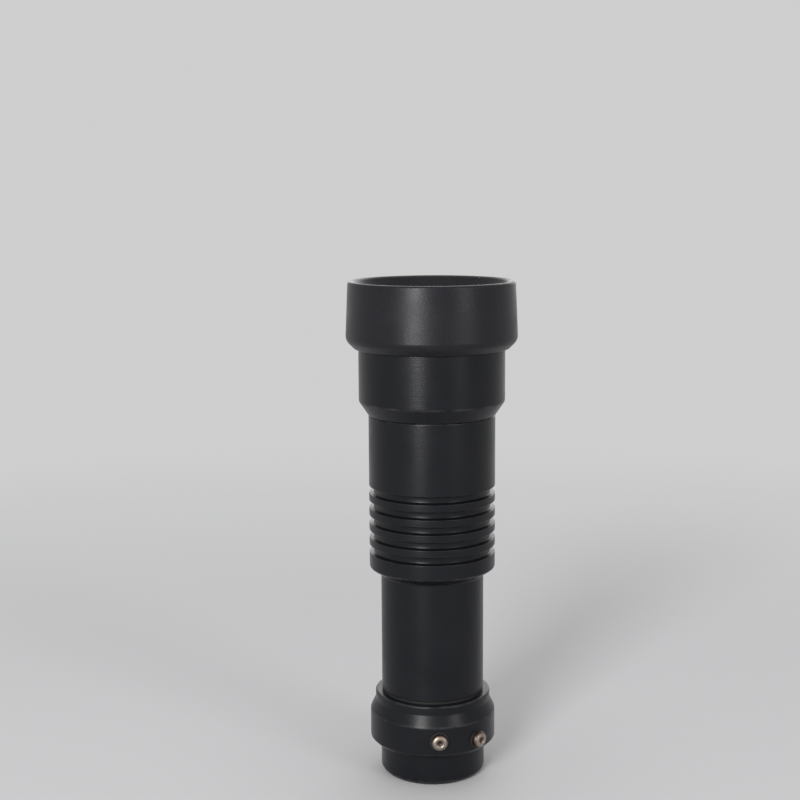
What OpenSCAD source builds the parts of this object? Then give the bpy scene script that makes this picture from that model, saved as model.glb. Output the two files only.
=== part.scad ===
// Egg candling lamp: a short metal torch with a soft cup on its head, which the light leaves through.
// It stands upright on its tail. The origin is the middle of the tail's rim, and +Z points to the cup.
// The front of the lamp, where the charging studs are, faces -Y. All sizes are in millimetres.
// The widths are worked out from the cell outwards, through walls, ledges and fits, and the heights from
// the tail's rim upwards, so that a change of one size carries the pieces around it along.

/* [Cell] */
// Diameter of the cell over its sleeve
cell_d = 14.2; // [12:0.1:18]
// Length of the cell over its positive cap
cell_l = 50; // [42:0.1:65]
// Thickness of the sleeve
cell_sleeve_t = 0.15; // [0.1:0.05:0.2]
// Wall of the cell's can
cell_can_t = 0.35; // [0.25:0.05:0.5]
// Diameter of the positive cap
cell_cap_d = 5.5; // [4.5:0.1:6.4]
// Height of the positive cap
cell_cap_h = 1.2; // [0.8:0.1:1.8]

/* [Barrel] */
// Wall of the neck, outside the channel for the charging lead
neck_wall = 1.85; // [1.5:0.05:3]
// Width of the shoulder that the barrel presses on the tail cap with
neck_shoulder_w = 1.1; // [0.8:0.1:1.3]
// Length of the grip with its lower taper
grip_l = 32.3; // [26:0.1:38]
// Width of the shoulder at the top of the grip that the head closes on
grip_shoulder_w = 1.3; // [1:0.1:2.5]
// Height of the grip's lower taper
grip_taper_h = 1.5; // [0.8:0.1:2.5]
// Number of grip grooves
groove_count = 5; // [3:1:6]
// Distance from one groove to the next
groove_pitch = 3; // [2.4:0.1:3.6]
// Depth of a groove
groove_depth = 1; // [0.4:0.1:1.4]
// Width of a groove at the surface
groove_w = 1.6; // [1:0.1:2]
// How far each side of a groove leans out from its floor
groove_lean = 0.2; // [0.1:0.05:0.4]
// Height of the lowest groove above the grip's lower end
groove_start = 5.3; // [3.8:0.1:7]
// Thickness of the gasket between the barrel and the tail cap
tail_gasket_t = 0.4; // [0.3:0.05:0.6]
// How far the bore at the head end stands out past the lead's channel
front_bore_step = 0.85; // [0.6:0.05:1.5]
// Wall of the threaded spigot that goes into the head
head_spigot_wall = 2; // [1.6:0.1:3]
// Length of that spigot
head_spigot_l = 6.2; // [5.4:0.1:8]
// Height of the thread, cut away to its root here
thread_h = 0.55; // [0.4:0.05:0.7]
// Diameter of the charging lead over its insulation
lead_d = 0.84; // [0.6:0.02:1]

/* [Tail cap] */
// Height of the narrow end that the lamp stands on
tail_end_h = 6.4; // [5.6:0.1:9]
// Wall of the narrow end around the switch
tail_end_wall = 2.5; // [2:0.1:3.4]
// Width of the flat rim that the lamp stands on, with its bevel
tail_rim_w = 3; // [2:0.1:3.6]
// Height of the collar that carries the charging studs
collar_h = 6.5; // [5.6:0.1:9]
// Wall of the collar around the barrel's spigot
collar_wall = 3.4; // [2.7:0.1:5]
// Height of the taper above the collar
tail_taper_h = 2.1; // [0.8:0.1:3]
// Height of the ring above the taper
tail_ring_h = 1.9; // [1.2:0.1:5]
// Wall of that ring around the barrel's spigot
tail_ring_wall = 2.35; // [1.5:0.05:2.7]
// Bevel on the outer edges of the tail cap
tail_bevel = 0.4; // [0.2:0.1:0.8]
// Depth of the dished recess around the button
tail_dish_depth = 0.6; // [0.4:0.1:1]
// Thickness of the floor that holds the button in
tail_floor_t = 1.6; // [1.2:0.1:2.4]

/* [Push button] */
// Diameter of the button's face
button_d = 10.7; // [8:0.1:12.4]
// How far the button travels
button_travel = 1.5; // [1:0.1:2]
// How far the flange inside stands out around the face
button_flange_w = 1.2; // [0.8:0.1:1.5]
// Thickness of the flange
button_flange_t = 1; // [0.8:0.1:1.4]
// Depth of the button's edge below the floor of the dish
button_sink = 0.3; // [0.2:0.1:0.6]
// Crown of the button's face
button_crown = 0.45; // [0.2:0.05:0.55]
// Diameter of the plunger's stem
plunger_d = 3.1; // [2.4:0.1:3.8]
// How far the collar on the plunger stands out from the stem
plunger_collar_w = 0.6; // [0.4:0.05:0.8]
// Wire of the return spring
button_spring_wire = 0.5; // [0.4:0.05:0.6]
// Gap between the return spring and the plunger's collar
button_spring_gap = 0.45; // [0.3:0.05:0.8]
// Curls of the return spring
button_spring_curls = 4; // [3:1:5]

/* [Switch and tail board] */
// Width of the ledge around the switch, where the tail's bore steps in
switch_ledge_w = 1.25; // [1:0.05:1.6]
// Thickness of the roof over the return spring's pocket
switch_roof_t = 1.2; // [0.8:0.1:1.6]
// Thickness of the tail board
tail_board_t = 1; // [0.8:0.1:1.6]
// Height from the middle of the upper stud to the tail board
stud_to_board = 1.15; // [0.95:0.05:1.5]
// Wire of the tail spring
tail_spring_wire = 0.6; // [0.5:0.05:0.7]
// Outer diameter of the tail spring's wide end
tail_spring_d = 11.6; // [9.6:0.1:13.8]
// Height of the tail spring under the cell
tail_spring_h = 4.2; // [3.8:0.1:8]

/* [Charging studs] */
// Angle of the first stud from the front, to the right
first_stud_angle = 6; // [0:0.1:20]
// Angle between the two studs
stud_spacing_angle = 39; // [30:1:90]
// Height of the first stud above the collar's lower edge
stud_rise = 3.75; // [3:0.05:4.2]
// How much lower the second stud is, so that a charger can't be put on the wrong way round
stud_stagger = 0.8; // [0:0.1:0.9]
// Diameter of a stud's head
stud_head_d = 3.4; // [2.8:0.1:4]
// Height of a stud's head
stud_head_h = 1.1; // [0.8:0.05:1.4]
// Diameter of a stud's shank
stud_shank_d = 1.6; // [1.2:0.1:1.8]
// Diameter of the dimple in a stud's head
stud_dimple_d = 1.5; // [0.8:0.1:1.6]
// Outer diameter of the insulating bush around a shank
bush_d = 2.6; // [2.1:0.1:3]
// Thickness of the bush's flange under the head
bush_flange_t = 0.3; // [0.2:0.05:0.5]

/* [Front contact] */
// Thickness of the web that holds the brass contact
holder_web_t = 1.4; // [1:0.1:2]
// Depth of the recess under the web
holder_recess_h = 0.8; // [0.6:0.1:1]
// Diameter of the contact's upper head
contact_head_d = 7; // [5.8:0.1:8.4]
// Thickness of both contact heads
contact_head_t = 0.5; // [0.4:0.05:0.6]
// Diameter of the contact's shank
contact_shank_d = 3; // [2:0.1:3.6]

/* [Light engine] */
// Thickness of the heat sink's flange
sink_flange_t = 1.4; // [1:0.1:2]
// Height of the heat sink's shoulder under the flange
sink_shoulder_t = 1.3; // [1:0.1:2]
// Wall of the heat sink around the light board
sink_cup_wall = 0.8; // [0.6:0.1:1.5]
// Depth of the light board's seat below the flange
sink_cup_depth = 2.2; // [1.8:0.1:2.6]
// Thickness of the floor under the light board
sink_floor_t = 2; // [1.6:0.1:3]
// Thickness of the light board
led_board_t = 1.5; // [1.2:0.1:1.8]
// Side of the square light package
led_package_w = 3.45; // [3:0.05:4.1]
// Height of the light package
led_package_h = 0.7; // [0.5:0.05:0.9]
// Diameter of the clear dome on the package
led_dome_d = 2.9; // [2.4:0.05:3.4]
// Room for the driver's parts
driver_room_h = 3.2; // [2.6:0.1:4.5]
// Thickness of the driver board
driver_board_t = 1.2; // [0.8:0.1:1.6]
// Height of the contact spring
contact_spring_h = 3.65; // [3:0.05:5]
// Wire of the contact spring
contact_spring_wire = 0.55; // [0.45:0.05:0.65]
// Outer diameter of the contact spring's wide end
contact_spring_d = 8; // [6.6:0.1:9.6]

/* [Head] */
// Width of the ledge inside the head, under the heat sink's flange
head_ledge_w = 1.5; // [1:0.1:2.5]
// Wall of the head around the lens
head_wall = 1.6; // [1.2:0.1:3]
// Height of the head's lower taper
head_taper_h = 2.8; // [1.5:0.1:4]
// Thickness of the lens
lens_t = 1.6; // [1.2:0.1:2]
// Thickness of the flat seal on the lens
lens_seal_t = 0.6; // [0.4:0.1:1]
// Height of the ring that clamps the lens
bezel_h = 1.8; // [1.4:0.1:3]
// How far that ring covers the edge of the lens
bezel_cover_w = 1.5; // [1.2:0.1:2.5]
// Height of the reflector above the heat sink's flange
reflector_h = 6.2; // [5:0.1:9]
// Width of the reflector's lip under the lens
reflector_lip_w = 1; // [0.6:0.1:2]
// Diameter of the hole at the reflector's foot
reflector_foot_d = 6.8; // [6:0.1:8]
// Tube diameter of the head's sealing ring
head_ring_d = 1; // [0.8:0.05:1.2]

/* [Cup] */
// Wall of the skirt around the head
cup_wall = 2.45; // [2:0.05:5]
// How far the outside draws in from the skirt to the rim
cup_draw_in = 0.5; // [0:0.1:1]
// Thickness of the rim
cup_rim_t = 1.2; // [0.8:0.1:2]
// How far the throat stands back from the ring that clamps the lens
cup_throat_step = 0.4; // [0:0.1:1]
// Height of the rim above the head
cup_rise = 7.2; // [5:0.1:12]
// Height of the throat's straight wall
cup_throat_h = 1.2; // [0.8:0.1:2]
// Length of the skirt that grips the head
cup_skirt_h = 6.1; // [4:0.1:8]
// Radius of the rounded lower edge
cup_edge_r = 1.9; // [1:0.1:2.2]
// Radius of the rounded lip
cup_lip_r = 0.5; // [0.3:0.05:0.6]
// Height of the bead that snaps into the head's groove
cup_bead_h = 1; // [0.6:0.1:1.4]
// How far the bead stands in from the skirt
cup_bead_w = 0.4; // [0.2:0.05:0.5]

/* [Fits] */
// Gap of a close fit, on the radius
fit = 0.05; // [0.03:0.01:0.08]
// Gap of a sliding or turning fit, on the radius
slide_fit = 0.1; // [0.08:0.01:0.15]
// Gap around a loose part, on the radius
loose_fit = 0.2; // [0.15:0.01:0.3]

/* [Hidden] */
$fn = 96;

// Finishes
anodised_black = [0.08, 0.08, 0.09];
rubber_black = [0.05, 0.05, 0.05];
bare_aluminium = [0.78, 0.79, 0.8];
nickel = [0.8, 0.79, 0.76];
brass = [0.8, 0.62, 0.3];
board_green = [0.05, 0.3, 0.16];

// Overlap of a cut past a face
cut = 0.1;
// Sides of a spring's wire, and rings along one curl
spring_sides = 6;
rings_a_curl = 8;
// Gap of an easy fit, between a sliding and a loose one, on the radius
easy_fit = (slide_fit + loose_fit) / 2;
// Angle of the lamp's front
front_angle = -90;

// Heights of the tail cap, from the rim up
collar_z = tail_end_h;
tail_taper_z = collar_z + collar_h;
tail_ring_z = tail_taper_z + tail_taper_h;
tail_top_z = tail_ring_z + tail_ring_h;
barrel_z = tail_top_z + tail_gasket_t;
stud_z = collar_z + stud_rise;
low_stud_z = stud_z - stud_stagger;

// Heights of the button and the switch
tail_floor_z = tail_dish_depth + tail_floor_t;
button_flange_z = tail_floor_z + button_flange_t;
switch_z = button_flange_z + button_travel + loose_fit;
tail_board_z = stud_z + stud_to_board;
tail_spigot_z = tail_board_z + tail_board_t;
pocket_top_z = tail_board_z - switch_roof_t;
plunger_end_gap = 0.4;
plunger_top_z = pocket_top_z - button_travel - plunger_end_gap;
plunger_collar_h = 0.5;
plunger_foot = 1.2;
stud_bore_margin = 0.3;
stud_bore_z = low_stud_z - bush_d / 2 - stud_bore_margin;

// Heights of the cell, from the tail spring up, and of the front contact
cell_z = tail_spigot_z + tail_spring_h;
cell_top_z = cell_z + cell_l;
cell_shoulder_z = cell_top_z - cell_cap_h;
holder_top_z = cell_top_z + contact_head_t + holder_web_t;
holder_z = holder_top_z - holder_web_t - holder_recess_h;
contact_top_z = holder_top_z + contact_head_t;

// Heights of the light engine and the head
driver_z = contact_top_z + contact_spring_h + fit;
driver_top_z = driver_z + driver_board_t;
sink_floor_z = driver_top_z + driver_room_h;
led_board_z = sink_floor_z + sink_floor_t;
led_package_z = led_board_z + led_board_t;
led_dome_z = led_package_z + led_package_h;
sink_flange_z = led_board_z + sink_cup_depth;
sink_shoulder_z = sink_flange_z - sink_shoulder_t;
reflector_z = sink_flange_z + sink_flange_t;
lens_z = reflector_z + reflector_h;
lens_seal_z = lens_z + lens_t;
bezel_z = lens_seal_z + lens_seal_t;
head_top_z = bezel_z + bezel_h;
cup_z = head_top_z - cup_skirt_h;
rim_z = head_top_z + cup_rise;

// Heights of the barrel, from the head down to the neck
head_spigot_top_z = sink_shoulder_z - loose_fit;
head_z = head_spigot_top_z - head_spigot_l;
grip_z = head_z - grip_l;

// Radii of the cell and the charging lead, whose channel runs along the cell at the back
cell_r = cell_d / 2;
cell_gap = 0.35;
cell_bore_r = cell_r + cell_gap;
can_r = cell_r - cell_sleeve_t - fit / 2;
lead_angle = 90;
lead_gap = 0.08;
lead_r = cell_bore_r + lead_gap + lead_d / 2;
channel_w = lead_d + 4 * lead_gap;
channel_r = lead_r + lead_d / 2 + lead_gap;

// Radii of the barrel
neck_r = channel_r + neck_wall;
tail_spigot_r = neck_r - neck_shoulder_w;
front_bore_r = channel_r + front_bore_step;
head_spigot_r = front_bore_r + head_spigot_wall;
grip_r = head_spigot_r + grip_shoulder_w;

// Radii of the tail cap, the switch and the button
tail_bore_r = tail_spigot_r + fit;
tail_ring_r = tail_bore_r + tail_ring_wall;
collar_r = tail_bore_r + collar_wall;
switch_bore_r = tail_bore_r - switch_ledge_w;
switch_r = switch_bore_r - slide_fit;
tail_end_r = switch_bore_r + tail_end_wall;
button_r = button_d / 2;
button_flange_r = button_r + button_flange_w;
plunger_r = plunger_d / 2;
plunger_collar_r = plunger_r + plunger_collar_w;
button_spring_r = plunger_collar_r + button_spring_gap + button_spring_wire / 2;
pocket_r = button_spring_r + button_spring_wire / 2 + slide_fit;

// Radii of the heat sink and what it carries
sink_skirt_r = front_bore_r - loose_fit;
sink_skirt_wall = 0.5;
driver_seat_r = sink_skirt_r - sink_skirt_wall;
driver_board_r = driver_seat_r - fit;
driver_ledge_w = 0.4;
sink_room_r = driver_seat_r - driver_ledge_w;
led_cup_r = sink_skirt_r - sink_cup_wall;
led_board_gap = 0.3;
led_board_r = led_cup_r - led_board_gap;

// Radii of the head, its lens and the cup
head_thread_bore_r = head_spigot_r + slide_fit;
head_bore_r = head_thread_bore_r + head_ledge_w;
head_r = head_bore_r + head_wall;
lens_r = head_bore_r - loose_fit;
window_r = lens_r - bezel_cover_w;
cup_skirt_r = head_r + fit;

// Leaf contacts beside the switch, which the studs reach
finger_t = 0.25;
finger_w = 1.6;
finger_drop = 2.1;
finger_gap = 0.35;
finger_foot_gap = 0.25;
finger_r = switch_r + finger_gap;
finger_foot = tail_bore_r - finger_r - finger_foot_gap;

// Studs, along their own axis from the lamp's middle
stud_seat_depth = 0.2;
stud_seat_r = collar_r - stud_seat_depth;
stud_head_base_r = stud_seat_r + bush_flange_t;
stud_tip_r = finger_r + finger_t + fit;
bush_flange_lip = 0.15;
bush_flange_d = stud_head_d + 2 * bush_flange_lip;

// Light engine: the centring ring, the screws and the leads around the light
centring_collar_h = 0.6;
centring_flange_w = 0.8;
centring_flange_t = 0.9;
centring_r = reflector_foot_d / 2 - slide_fit;
centring_flange_r = centring_r + centring_flange_w;
reflector_foot_z = led_package_z + centring_flange_t;
board_screw_gap = 0.4;
board_screw_margin = 0.5;
board_screw_step = 0.6;
board_screw_head_d = led_board_r - board_screw_margin - centring_flange_r - board_screw_gap;
board_screw_head_h = 0.75;
board_screw_d = board_screw_head_d - 2 * board_screw_step;
board_screw_l = 2.9;
board_screw_r = centring_flange_r + board_screw_gap + board_screw_head_d / 2;
led_lead_d = 0.8;
led_lead_inset = 1;
led_lead_end_gap = 0.9;
led_lead_r = led_board_r - led_lead_inset;
led_lead_l = led_lead_r - centring_flange_r - led_lead_end_gap;
led_notch_r = 1.15;
led_notch_inset = 0.4;
led_notch_count = 6;

// Points of an arc, from one angle to another
function arc(centre, r, from, to, steps = 6) = [
    for (i = [0 : steps])
        let (a = from + (to - from) * i / steps)
        [centre[0] + r * cos(a), centre[1] + r * sin(a)]
];

// Middle line of a coil that may narrow as it rises
function coil_point(i, steps, curls, low, high) =
    let (t = i / steps, a = 360 * curls * t, r = low[0] + (high[0] - low[0]) * t)
    [r * cos(a), r * sin(a), low[1] + (high[1] - low[1]) * t];

function coil_line(curls, low, high) =
    let (steps = curls * rings_a_curl)
    [for (i = [0 : steps]) coil_point(i, steps, curls, low, high)];

// Least clear gap between one curl and the next
function coil_gap(line, wire) =
    min([for (i = [0 : len(line) - 1 - rings_a_curl]) norm(line[i + rings_a_curl] - line[i])]) - wire;

// Wire wound along a coil's middle line, as one closed tube
module coil(line, wire) {
    last = len(line) - 1;
    points = [
        for (p = line)
            let (out = [p[0], p[1], 0] / norm([p[0], p[1], 0]))
            for (j = [0 : spring_sides - 1])
                let (b = 360 * j / spring_sides)
                p + wire / 2 * (cos(b) * out + [0, 0, sin(b)])
    ];
    walls = [
        for (i = [0 : last - 1], j = [0 : spring_sides - 1])
            let (a = i * spring_sides + j, b = i * spring_sides + (j + 1) % spring_sides)
            each [[a, b, b + spring_sides], [a, b + spring_sides, a + spring_sides]]
    ];
    start_cap = [for (j = [1 : spring_sides - 2]) [0, j + 1, j]];
    end_cap = [for (j = [1 : spring_sides - 2]) [for (k = [0, j, j + 1]) last * spring_sides + k]];
    polyhedron(points, concat(walls, start_cap, end_cap), convexity = 8);
}

// A turned piece: its half profile as [radius, height] points
module turned(profile) {
    rotate_extrude() polygon(profile);
}

// A plain ring
module ring(outer_r, inner_r, z, h) {
    turned([[inner_r, z], [outer_r, z], [outer_r, z + h], [inner_r, z + h]]);
}

// A hole or rod along the lamp's axis, at a radius and an angle
module upright(r, angle, d, z, h) {
    rotate(angle) translate([r, 0, z]) cylinder(d = d, h = h);
}

// Whatever is made along +X for one stud, repeated at both studs and at their heights
module at_studs() {
    for (i = [0, 1])
        rotate(front_angle + first_stud_angle + i * stud_spacing_angle)
            translate([0, 0, stud_z - i * stud_stagger]) let ($drop = i * stud_stagger) children();
}

// Anything made upright, laid along +X from a given radius
module outward(r) {
    translate([r, 0, 0]) rotate([0, 90, 0]) children();
}

module egg_cup() {
    land = 0.05;
    lower_r = cup_skirt_r + cup_wall;
    rim_r = lower_r - cup_draw_in;
    mouth_r = rim_r - cup_rim_t;
    throat_r = window_r + cup_throat_step;
    edge_r = min(cup_edge_r, cup_wall - land);
    lip_r = min(cup_lip_r, cup_rim_t / 2 - land);
    bead_z = cup_z + (cup_skirt_h - cup_bead_h) / 2;
    color(rubber_black) turned(concat(
        [[cup_skirt_r, cup_z]],
        arc([lower_r - edge_r, cup_z + edge_r], edge_r, -90, 0),
        arc([rim_r - lip_r, rim_z - lip_r], lip_r, 0, 90),
        arc([mouth_r + lip_r, rim_z - lip_r], lip_r, 90, 180),
        [
            [throat_r, head_top_z + cup_throat_h],
            [throat_r, head_top_z],
            [cup_skirt_r, head_top_z],
            [cup_skirt_r, bead_z + cup_bead_h],
            [cup_skirt_r - cup_bead_w, bead_z + cup_bead_h - cup_bead_w / 2],
            [cup_skirt_r - cup_bead_w, bead_z + cup_bead_w / 2],
            [cup_skirt_r, bead_z]
        ]
    ));
}

module bezel_ring() {
    slot_w = 1.6;
    slot_depth = 0.8;
    inner_bevel = 0.6;
    outer_r = head_bore_r - slide_fit;
    color(anodised_black) difference() {
        turned([
            [window_r, bezel_z], [outer_r, bezel_z], [outer_r, head_top_z],
            [window_r + inner_bevel, head_top_z], [window_r, head_top_z - inner_bevel]
        ]);
        translate([-head_r, -slot_w / 2, head_top_z - slot_depth])
            cube([2 * head_r, slot_w, slot_depth + cut]);
    }
}

module lens_seal() {
    inset = 0.4;
    color(rubber_black) ring(lens_r, window_r + inset, lens_seal_z, lens_seal_t);
}

module lens() {
    edge = 0.2;
    color([0.85, 0.92, 0.95, 0.4]) turned([
        [0, lens_z], [lens_r - edge, lens_z], [lens_r, lens_z + edge], [lens_r, lens_z + lens_t - edge],
        [lens_r - edge, lens_z + lens_t], [0, lens_z + lens_t]
    ]);
}

// Turned reflector: a bowl that opens from the light to the lens, in a plain round block
module reflector() {
    bowl_steps = 12;
    foot_r = reflector_foot_d / 2;
    mouth_r = lens_r - reflector_lip_w;
    outer_r = head_bore_r - easy_fit;
    boss_r = led_cup_r - easy_fit;
    bowl = [
        for (i = [0 : bowl_steps])
            let (r = foot_r + (mouth_r - foot_r) * i / bowl_steps)
            let (share = (pow(r, 2) - pow(foot_r, 2)) / (pow(mouth_r, 2) - pow(foot_r, 2)))
            [r, reflector_foot_z + (lens_z - reflector_foot_z) * share]
    ];
    color(bare_aluminium) turned(concat(bowl, [
        [outer_r, lens_z], [outer_r, reflector_z], [boss_r, reflector_z], [boss_r, reflector_foot_z]
    ]));
}

// Plastic ring that centres the reflector on the light and keeps it off the pads
module led_centring_ring() {
    opening_r = norm([led_package_w, led_package_w]) / 2 + slide_fit;
    color("white") turned([
        [opening_r, led_package_z], [centring_flange_r, led_package_z],
        [centring_flange_r, reflector_foot_z], [centring_r, reflector_foot_z],
        [centring_r, reflector_foot_z + centring_collar_h],
        [opening_r, reflector_foot_z + centring_collar_h]
    ]);
}

module led_dome() {
    color([1, 0.97, 0.85, 0.7]) difference() {
        translate([0, 0, led_dome_z]) sphere(d = led_dome_d);
        translate([-led_dome_d, -led_dome_d, led_dome_z - led_dome_d])
            cube([2 * led_dome_d, 2 * led_dome_d, led_dome_d]);
    }
}

module led_package() {
    color([0.93, 0.92, 0.86]) translate([-led_package_w / 2, -led_package_w / 2, led_package_z])
        cube([led_package_w, led_package_w, led_package_h]);
}

// Star-shaped metal board, with a notch at each point for a screw or a lead
module led_board() {
    color(bare_aluminium) difference() {
        translate([0, 0, led_board_z]) cylinder(r = led_board_r, h = led_board_t);
        for (i = [0 : led_notch_count - 1])
            upright(
                led_board_r - led_notch_inset, lead_angle + i * 360 / led_notch_count, 2 * led_notch_r,
                led_board_z - cut, led_board_t + 2 * cut
            );
        board_screw_holes(led_board_z - cut, led_board_t + 2 * cut);
    }
}

module board_screw_holes(z, h) {
    for (angle = [0, 180])
        upright(board_screw_r, angle, board_screw_d + 2 * fit, z, h);
}

module board_screws() {
    recess_wall = 0.75;
    recess_d = board_screw_head_d - 2 * recess_wall;
    recess_depth = 0.45;
    head_edge = 0.25;
    r = board_screw_head_d / 2;
    color(nickel) for (angle = [0, 180])
        rotate(angle) translate([board_screw_r, 0, led_package_z]) difference() {
            turned([
                [0, -board_screw_l], [board_screw_d / 2, -board_screw_l], [board_screw_d / 2, 0], [r, 0],
                [r, board_screw_head_h - head_edge], [r - head_edge, board_screw_head_h],
                [0, board_screw_head_h]
            ]);
            translate([0, 0, board_screw_head_h - recess_depth])
                cylinder(d = recess_d, h = recess_depth + cut, $fn = 6);
        }
}

// One lead from the driver, up through the heat sink's floor and over to its pad
module led_lead(angle) {
    corner_z = led_package_z + led_lead_d / 2;
    rotate(angle) {
        translate([led_lead_r, 0, driver_top_z]) cylinder(d = led_lead_d, h = corner_z - driver_top_z);
        translate([led_lead_r, 0, corner_z]) sphere(d = led_lead_d);
        translate([0, 0, corner_z])
            outward(led_lead_r - led_lead_l) cylinder(d = led_lead_d, h = led_lead_l);
    }
}

module led_lead_positive() {
    color("red") led_lead(lead_angle);
}

module led_lead_negative() {
    color([0.1, 0.1, 0.1]) led_lead(lead_angle + 180);
}

// The heat sink carries the light board in its upper cup and the driver in its skirt
module heat_sink() {
    color(brass) difference() {
        turned([
            [0, sink_floor_z], [sink_room_r, sink_floor_z], [sink_room_r, driver_top_z],
            [driver_seat_r, driver_top_z], [driver_seat_r, driver_z], [sink_skirt_r, driver_z],
            [sink_skirt_r, sink_shoulder_z], [head_thread_bore_r - slide_fit, sink_shoulder_z],
            [head_thread_bore_r - slide_fit, sink_flange_z], [head_bore_r - fit, sink_flange_z],
            [head_bore_r - fit, reflector_z], [led_cup_r, reflector_z], [led_cup_r, led_board_z],
            [0, led_board_z]
        ]);
        for (angle = [lead_angle, lead_angle + 180])
            upright(
                led_lead_r, angle, led_lead_d + 2 * loose_fit, sink_floor_z - cut, sink_floor_t + 2 * cut
            );
        board_screw_holes(led_package_z - board_screw_l, board_screw_l);
    }
}

module driver_board() {
    color(board_green) translate([0, 0, driver_z]) cylinder(r = driver_board_r, h = driver_board_t);
}

// Choke, driver chip and capacitors on the driver board
module driver_parts() {
    choke_d = 5;
    choke_h = 2.4;
    chip_l = 5;
    chip_w = 4;
    chip_h = 1.5;
    capacitor_l = 1.6;
    capacitor_w = 2.4;
    capacitor_h = 1.3;
    part_row = 3.2;
    capacitor_row = 4;
    color([0.15, 0.15, 0.16]) translate([0, 0, driver_top_z]) {
        translate([-part_row, 0, 0]) cylinder(d = choke_d, h = choke_h);
        translate([part_row - chip_l / 2, -chip_w / 2, 0]) cube([chip_l, chip_w, chip_h]);
        for (side = [-1, 1])
            translate([part_row - capacitor_l / 2, side * capacitor_row - capacitor_w / 2, 0])
                cube([capacitor_l, capacitor_w, capacitor_h]);
    }
}

contact_spring_curls = 2.5;
contact_spring_tip_r = 1.5;
contact_spring_line = coil_line(
    contact_spring_curls,
    [contact_spring_tip_r, contact_top_z + fit + contact_spring_wire / 2],
    [(contact_spring_d - contact_spring_wire) / 2, driver_z - contact_spring_wire / 2]
);

module contact_spring() {
    color(brass) coil(contact_spring_line, contact_spring_wire);
}

// Threaded sleeve that holds everything from the heat sink to the lens
module head_housing() {
    top_bevel = 0.4;
    groove_gap = 0.05;
    groove_z = cup_z + (cup_skirt_h - cup_bead_h) / 2 - groove_gap;
    groove_h = cup_bead_h + 2 * groove_gap;
    groove_r = head_r - cup_bead_w;
    color(anodised_black) turned([
        [head_thread_bore_r, head_z], [grip_r, head_z], [head_r, head_z + head_taper_h],
        [head_r, groove_z], [groove_r, groove_z + cup_bead_w / 2],
        [groove_r, groove_z + groove_h - cup_bead_w / 2], [head_r, groove_z + groove_h],
        [head_r, head_top_z - top_bevel], [head_r - top_bevel, head_top_z],
        [head_bore_r, head_top_z], [head_bore_r, sink_flange_z], [head_thread_bore_r, sink_flange_z]
    ]);
}

// Groove for the sealing ring on the head's spigot
ring_land = 1;
ring_groove_z = head_z + ring_land;
ring_side_gap = 0.2;
ring_seat_gap = 0.02;
ring_groove_h = head_ring_d + 2 * ring_side_gap;
ring_groove_r = head_spigot_r - head_ring_d;

module head_sealing_ring() {
    color(rubber_black) rotate_extrude()
        translate([ring_groove_r + head_ring_d / 2 + ring_seat_gap, ring_groove_z + ring_groove_h / 2])
            circle(d = head_ring_d, $fn = 32);
}

// One grip groove in the barrel's profile, from its upper edge down
function groove_profile(z) = [
    [grip_r, z + groove_w / 2],
    [grip_r - groove_depth, z + groove_w / 2 - groove_lean],
    [grip_r - groove_depth, z - groove_w / 2 + groove_lean],
    [grip_r, z - groove_w / 2]
];

// Neck and grip in one turned tube, with a spigot at each end
module barrel() {
    edge = 0.3;
    thread_r = head_spigot_r - thread_h;
    thread_z = ring_groove_z + ring_groove_h + ring_land / 2;
    grooves = [
        for (i = [groove_count - 1 : -1 : 0]) each groove_profile(grip_z + groove_start + i * groove_pitch)
    ];
    color(anodised_black) difference() {
        turned(concat(
            [
                [cell_bore_r, head_spigot_top_z], [thread_r, head_spigot_top_z], [thread_r, thread_z],
                [head_spigot_r, thread_z], [head_spigot_r, ring_groove_z + ring_groove_h],
                [ring_groove_r, ring_groove_z + ring_groove_h], [ring_groove_r, ring_groove_z],
                [head_spigot_r, ring_groove_z], [head_spigot_r, head_z], [grip_r - edge, head_z],
                [grip_r, head_z - edge]
            ],
            grooves,
            [
                [grip_r, grip_z + grip_taper_h], [neck_r, grip_z], [neck_r, barrel_z],
                [tail_spigot_r, barrel_z], [tail_spigot_r, tail_spigot_z], [cell_bore_r, tail_spigot_z]
            ]
        ));
        translate([0, 0, holder_z]) cylinder(r = front_bore_r, h = head_spigot_top_z - holder_z + cut);
        rotate(lead_angle) translate([0, -channel_w / 2, tail_spigot_z - cut])
            cube([channel_r, channel_w, holder_z - tail_spigot_z + 2 * cut]);
    }
}

// Plastic disc across the barrel, between the cell and the driver
module front_contact_holder() {
    recess_gap = 0.5;
    recess_d = cell_cap_d + 2 * recess_gap;
    color([0.9, 0.9, 0.88]) difference() {
        translate([0, 0, holder_z]) cylinder(r = front_bore_r - slide_fit, h = holder_top_z - holder_z);
        translate([0, 0, holder_z - cut]) cylinder(d = recess_d, h = holder_recess_h + cut);
        translate([0, 0, holder_z - cut])
            cylinder(d = contact_shank_d + 2 * fit, h = holder_top_z - holder_z + 2 * cut);
        upright(
            lead_r, lead_angle, lead_d + 2 * slide_fit, holder_z - cut, holder_top_z - holder_z + 2 * cut
        );
    }
}

module front_contact() {
    lower_inset = 0.15;
    lower_d = cell_cap_d - 2 * lower_inset;
    color(brass) turned([
        [0, cell_top_z], [lower_d / 2, cell_top_z], [lower_d / 2, cell_top_z + contact_head_t],
        [contact_shank_d / 2, cell_top_z + contact_head_t], [contact_shank_d / 2, holder_top_z],
        [contact_head_d / 2, holder_top_z], [contact_head_d / 2, contact_top_z], [0, contact_top_z]
    ]);
}

module cell_positive_cap() {
    crown = 0.4;
    r = cell_cap_d / 2;
    color(nickel) turned([
        [0, cell_shoulder_z], [r, cell_shoulder_z], [r, cell_top_z - crown], [r - crown, cell_top_z],
        [0, cell_top_z]
    ]);
}

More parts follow.
